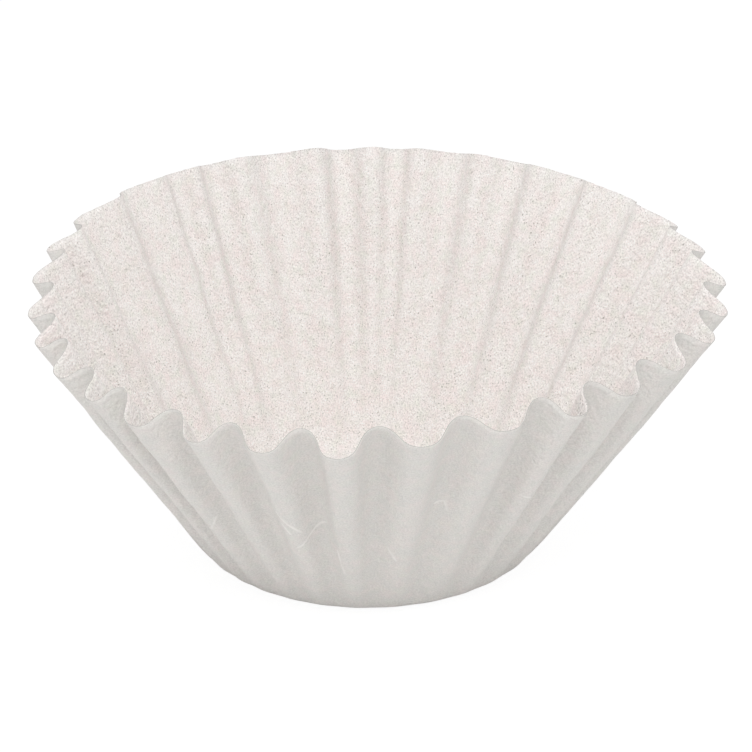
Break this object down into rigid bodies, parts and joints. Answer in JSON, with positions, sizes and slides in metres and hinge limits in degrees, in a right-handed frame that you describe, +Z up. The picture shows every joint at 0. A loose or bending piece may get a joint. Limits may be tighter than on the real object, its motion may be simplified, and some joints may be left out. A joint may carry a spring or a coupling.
{
  "type": "paper coffee filter",
  "caption": "Fluted paper basket filter for coffee, with a flat round floor and a flaring pleated side, open at the top.",
  "frame": {"origin": "centre of the flat floor, on its underside", "axes": "+Z up out of the open mouth, -Y to the front"},
  "size_m": [0.1478, 0.1518, 0.0662],
  "materials": {
    "paper": "matte, soft bleached fibre"
  },
  "bodies": {
    "root": {"filter_paper": "paper"}
  },
  "joints": []
}
